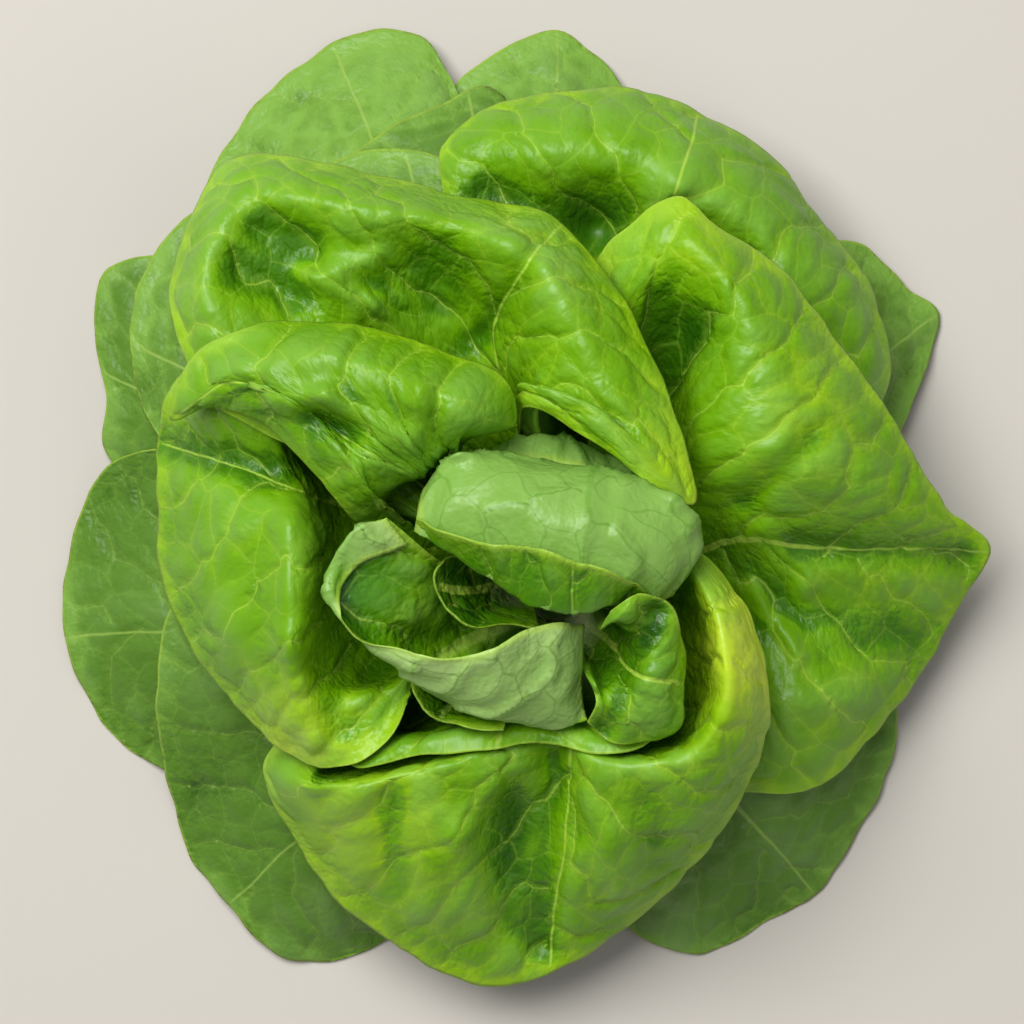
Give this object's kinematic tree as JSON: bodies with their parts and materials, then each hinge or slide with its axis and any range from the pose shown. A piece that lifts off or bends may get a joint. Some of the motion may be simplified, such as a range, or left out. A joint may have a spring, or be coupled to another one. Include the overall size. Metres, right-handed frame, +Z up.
{
  "type": "butterhead lettuce",
  "caption": "Cut butterhead lettuce resting on its stem, its outer leaves opened out round a loosely folded heart.",
  "frame": {"origin": "centre of the cut face of the stem, on the surface that the lettuce rests on", "axes": "+Z up out of the rosette; +X towards the large pointed leaf; +Y towards the top outer leaf"},
  "size_m": [0.2345, 0.2442, 0.1041],
  "materials": {
    "stem_flesh": "moist pale green flesh, matt at the cut",
    "outer_leaf": "waxy blue-green leaf, soft sheen",
    "leaf": "waxy bright green leaf, soft gloss",
    "heart_leaf": "waxy pale yellow-green leaf, soft gloss"
  },
  "bodies": {
    "root": {"stem": "stem_flesh", "outer_leaf_left_upper": "outer_leaf", "outer_leaf_left": "outer_leaf", "outer_leaf_lower_left": "outer_leaf", "outer_leaf_lower_right": "outer_leaf", "outer_leaf_right": "outer_leaf", "outer_leaf_top": "outer_leaf", "outer_leaf_upper_left": "outer_leaf", "outer_leaf_left_inner": "outer_leaf", "second_leaf_top": "outer_leaf", "second_leaf_upper_left": "outer_leaf", "second_leaf_upper_right": "leaf", "third_leaf_right": "leaf", "third_leaf_bottom": "leaf", "third_leaf_rolled": "leaf", "third_leaf_left": "leaf", "third_leaf_upper_left": "leaf", "third_leaf_hooded": "leaf", "heart_leaf_back": "heart_leaf", "heart_leaf_roll": "heart_leaf", "heart_leaf_cup": "heart_leaf", "heart_leaf_hood": "heart_leaf", "heart_leaf_right": "leaf", "heart_leaf_middle": "leaf"}
  },
  "joints": []
}
